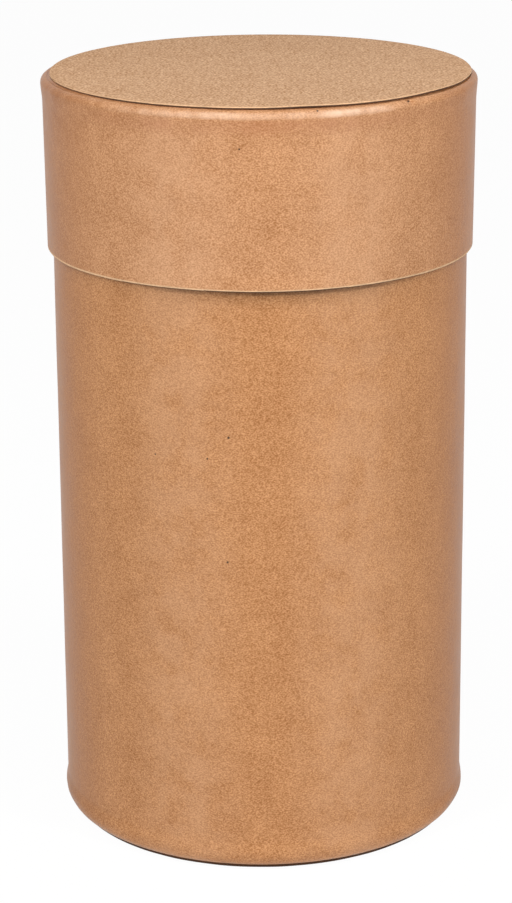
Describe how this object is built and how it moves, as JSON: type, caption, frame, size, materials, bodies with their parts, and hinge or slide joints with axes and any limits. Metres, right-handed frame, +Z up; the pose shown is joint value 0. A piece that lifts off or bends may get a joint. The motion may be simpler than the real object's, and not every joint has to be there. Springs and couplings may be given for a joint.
{
  "type": "fibre drum",
  "caption": "Upright round drum of wound kraft paper with turned-in ends, glued board discs and a deep slip-on lid.",
  "frame": {"origin": "centre of the underside, where the drum stands", "axes": "+Z up along the drum's axis; -Y is the side that faces the viewer, away from the winding's edges"},
  "size_m": [0.3122, 0.3122, 0.5574],
  "materials": {
    "kraft_wall": "machine-glazed kraft, low sheen",
    "kraft_lid": "machine-glazed kraft, low sheen",
    "cover_board": "matt kraft-faced board",
    "base_board": "matt kraft-faced board",
    "head_board": "matt pressed board"
  },
  "bodies": {
    "drum": {"drum_wall": "kraft_wall", "base_head_disc": "head_board", "base_cover_disc": "base_board"},
    "lid": {"lid_wall": "kraft_lid", "lid_head_disc": "head_board", "lid_cover_disc": "cover_board"}
  },
  "joints": [
    {"name": "lid_lift", "type": "slide", "parent": "drum", "child": "lid", "axis": [0, 0, 1], "range_m": [0, 0.16]}
  ]
}
